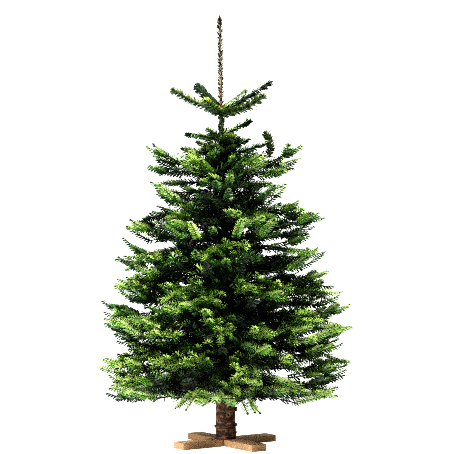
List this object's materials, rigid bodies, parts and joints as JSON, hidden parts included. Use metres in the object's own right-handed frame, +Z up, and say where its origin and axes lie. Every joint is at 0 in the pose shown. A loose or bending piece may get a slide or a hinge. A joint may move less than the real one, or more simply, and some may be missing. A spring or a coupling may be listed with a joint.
{
  "type": "cut fir christmas tree on a plain wooden cross stand",
  "caption": "Undecorated cut fir with a leaning bare leader, open top whorl, layered full crown and pruned foot, screwed to a flat wooden cross.",
  "frame": {"origin": "on the floor, on the stand's flat underside, below the middle of the trunk's flat cut", "axes": "+Z up along the trunk; +X to the right and +Y to the back when the tree is seen from its front"},
  "size_m": [1.1843, 1.0586, 1.99],
  "materials": {
    "bark": "rough, knobbly brown bark, darker to one side, with paler scars",
    "bough_bark": "smooth grey-brown bark of young boughs",
    "lower_needles": "soft needles, bright yellow-green on the outer shoots and dark inside",
    "upper_needles": "soft needles, mid to dark green with fresh green shoot ends",
    "shoot_needles": "needles of the top shoots, olive to pale green",
    "stand_wood": "sawn softwood, pale, with fine grain",
    "screw_steel": "bright zinc-plated steel"
  },
  "bodies": {
    "root": {"bough_1_back_left": "bough_bark", "bough_1_back_right": "bough_bark", "bough_1_front": "bough_bark", "bough_1_front_left": "bough_bark", "bough_1_right": "bough_bark", "foliage_1_back_left": "lower_needles", "foliage_1_back_right": "lower_needles", "foliage_1_front": "lower_needles", "foliage_1_front_left": "lower_needles", "foliage_1_right": "lower_needles", "foliage_2_back": "lower_needles", "foliage_2_front_left": "lower_needles", "foliage_2_front_right": "lower_needles", "foliage_2_left": "lower_needles", "foliage_2_right": "lower_needles", "foliage_3_back_left": "upper_needles", "foliage_3_back_right": "upper_needles", "foliage_3_front": "upper_needles", "foliage_3_left": "upper_needles", "foliage_3_right": "upper_needles", "foliage_4_back": "upper_needles", "foliage_4_front": "upper_needles", "foliage_4_front_right": "upper_needles", "foliage_4_left": "upper_needles", "foliage_4_right": "upper_needles", "foliage_5_back_left": "upper_needles", "foliage_5_back_right": "upper_needles", "foliage_5_front": "upper_needles", "foliage_5_left": "upper_needles", "foliage_5_right": "upper_needles", "foliage_6_back": "upper_needles", "foliage_6_front_left": "upper_needles", "foliage_6_front_right": "upper_needles", "foliage_6_left": "upper_needles", "foliage_6_right": "upper_needles", "foliage_7_back_left": "upper_needles", "foliage_7_back_right": "upper_needles", "foliage_7_front": "upper_needles", "foliage_7_left": "upper_needles", "foliage_7_right": "upper_needles", "foliage_8_back": "upper_needles", "foliage_8_front_left": "upper_needles", "foliage_8_front_right": "upper_needles", "foliage_8_left": "upper_needles", "foliage_8_right": "upper_needles", "shoot_back": "shoot_needles", "shoot_front": "shoot_needles", "shoot_left": "shoot_needles", "shoot_right": "shoot_needles", "shoot_top_back": "shoot_needles", "shoot_top_back_right": "shoot_needles", "shoot_top_front": "shoot_needles", "shoot_top_front_right": "shoot_needles", "shoot_top_left": "shoot_needles", "shoot_top_right": "shoot_needles", "stand_board_lower": "stand_wood", "stand_board_upper": "stand_wood", "stand_screw_left": "screw_steel", "stand_screw_right": "screw_steel", "trunk": "bark"}
  },
  "joints": []
}
